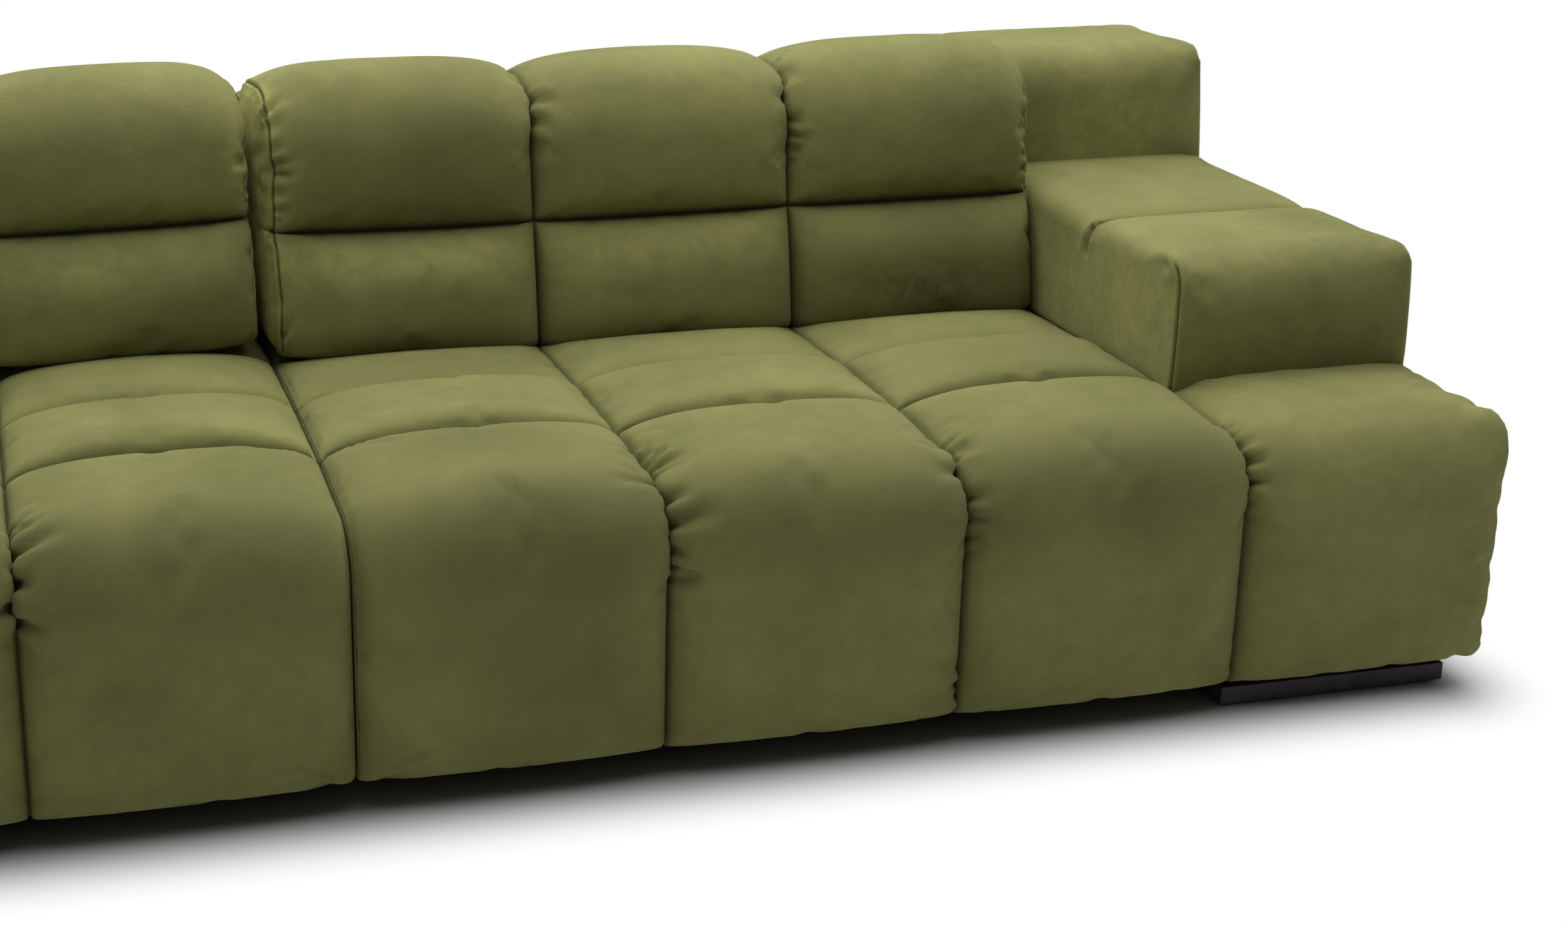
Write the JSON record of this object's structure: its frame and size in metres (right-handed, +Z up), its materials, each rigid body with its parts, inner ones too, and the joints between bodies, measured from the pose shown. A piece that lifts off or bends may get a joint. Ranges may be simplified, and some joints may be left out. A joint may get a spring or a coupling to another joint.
{
  "type": "lounge sofa",
  "caption": "Tufted velvet lounge sofa in linked modules, with deep seats, low block arms, a raked fixed back and loose tufted back cushions.",
  "frame": {"origin": "on the floor under the middle of the sofa, midway between the modules and between front and rear", "axes": "+X along the seat towards the right module, +Y to the back, +Z up"},
  "size_m": [3.308, 1.2399, 0.8087],
  "materials": {
    "velvet": "matte",
    "foam": "matte",
    "webbing": "matte",
    "dust_cloth": "matte",
    "timber": "matte",
    "plywood": "matte",
    "ticking": "matte",
    "zip": "satin",
    "foot": "satin",
    "glide": "matte",
    "steel": "satin"
  },
  "bodies": {
    "right_module": {"right_seat_cover": "velvet", "right_seat_foam": "foam", "right_deck_board": "plywood", "right_seat_webbing": "webbing", "right_front_rail": "timber", "right_seat_rail": "timber", "right_back_rail": "timber", "right_inner_rail": "timber", "right_outer_rail": "timber", "right_cross_rail": "timber", "right_arm_rail": "timber", "right_dust_cloth": "dust_cloth", "right_arm_cover": "velvet", "right_arm_inner_panel": "plywood", "right_arm_outer_panel": "plywood", "right_arm_end_panels": "plywood", "right_arm_top_board": "plywood", "right_back_cover": "velvet", "right_back_ribs": "plywood", "right_back_top_board": "plywood", "right_back_panel": "plywood", "right_front_foot": "foot", "right_rear_foot": "foot", "right_inner_feet": "foot", "right_glides": "glide", "right_foot_screws": "steel", "right_link_plates": "steel"},
    "left_module": {"left_seat_cover": "velvet", "left_seat_foam": "foam", "left_deck_board": "plywood", "left_seat_webbing": "webbing", "left_front_rail": "timber", "left_seat_rail": "timber", "left_back_rail": "timber", "left_inner_rail": "timber", "left_outer_rail": "timber", "left_cross_rail": "timber", "left_arm_rail": "timber", "left_dust_cloth": "dust_cloth", "left_arm_cover": "velvet", "left_arm_inner_panel": "plywood", "left_arm_outer_panel": "plywood", "left_arm_end_panels": "plywood", "left_arm_top_board": "plywood", "left_back_cover": "velvet", "left_back_ribs": "plywood", "left_back_top_board": "plywood", "left_back_panel": "plywood", "left_front_foot": "foot", "left_rear_foot": "foot", "left_inner_feet": "foot", "left_glides": "glide", "left_foot_screws": "steel", "left_link_tongues": "steel"},
    "right_cushion": {"right_cushion_cover": "velvet", "right_cushion_insert": "ticking", "right_cushion_zip": "zip"},
    "left_cushion": {"left_cushion_cover": "velvet", "left_cushion_insert": "ticking", "left_cushion_zip": "zip"}
  },
  "joints": [
    {"name": "left_module_lift", "type": "slide", "parent": "right_module", "child": "left_module", "axis": [0, 0, 1], "range_m": [0, 0.03]},
    {"name": "right_cushion_lift", "type": "slide", "parent": "right_module", "child": "right_cushion", "axis": [0, 0, 1], "range_m": [0, 0.42]},
    {"name": "left_cushion_lift", "type": "slide", "parent": "left_module", "child": "left_cushion", "axis": [0, 0, 1], "range_m": [0, 0.42]}
  ]
}
